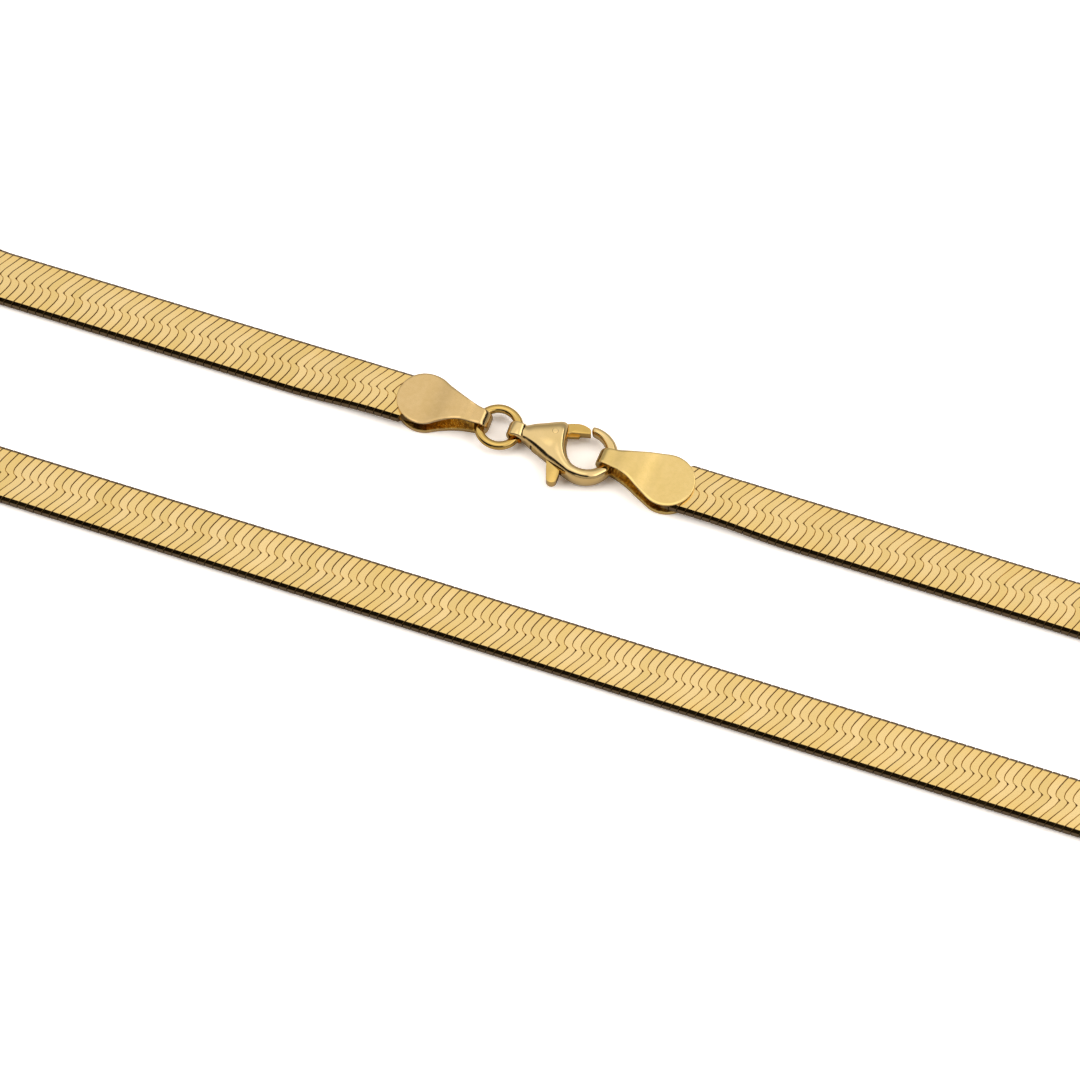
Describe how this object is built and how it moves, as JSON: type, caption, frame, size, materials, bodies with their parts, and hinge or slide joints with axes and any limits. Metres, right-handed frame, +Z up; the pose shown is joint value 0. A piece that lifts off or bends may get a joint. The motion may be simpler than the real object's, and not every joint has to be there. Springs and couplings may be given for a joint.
{
  "type": "flat snake chain necklace",
  "caption": "Flat woven herringbone neck chain lying in a long closed loop, with folded teardrop end tags, a jump ring and a lobster clasp with a sprung lever.",
  "frame": {"origin": "middle of the closed loop, on the surface that it lies on", "axes": "+X along the straight strands, from the jump ring towards the hook; +Y towards the strand with the clasp; +Z up"},
  "size_m": [0.207, 0.0414, 0.003],
  "materials": {
    "woven_gold": "polished",
    "satin_gold": "satin",
    "polished_gold": "polished"
  },
  "bodies": {
    "necklace": {"herringbone_chain": "woven_gold", "end_tag_left": "satin_gold", "end_tag_right": "satin_gold", "jump_ring": "polished_gold", "clasp_body": "polished_gold", "lever_pin": "polished_gold"},
    "lever": {"clasp_lever": "polished_gold"}
  },
  "joints": [
    {"name": "lever_pivot", "type": "hinge", "parent": "necklace", "child": "lever", "pos_m": [-0.002, 0.0112, 0.00135], "axis": [0, 0, -1], "range_deg": [0, 25], "stiffness_Nm_per_rad": 0.004, "springref_deg": -17.19}
  ]
}
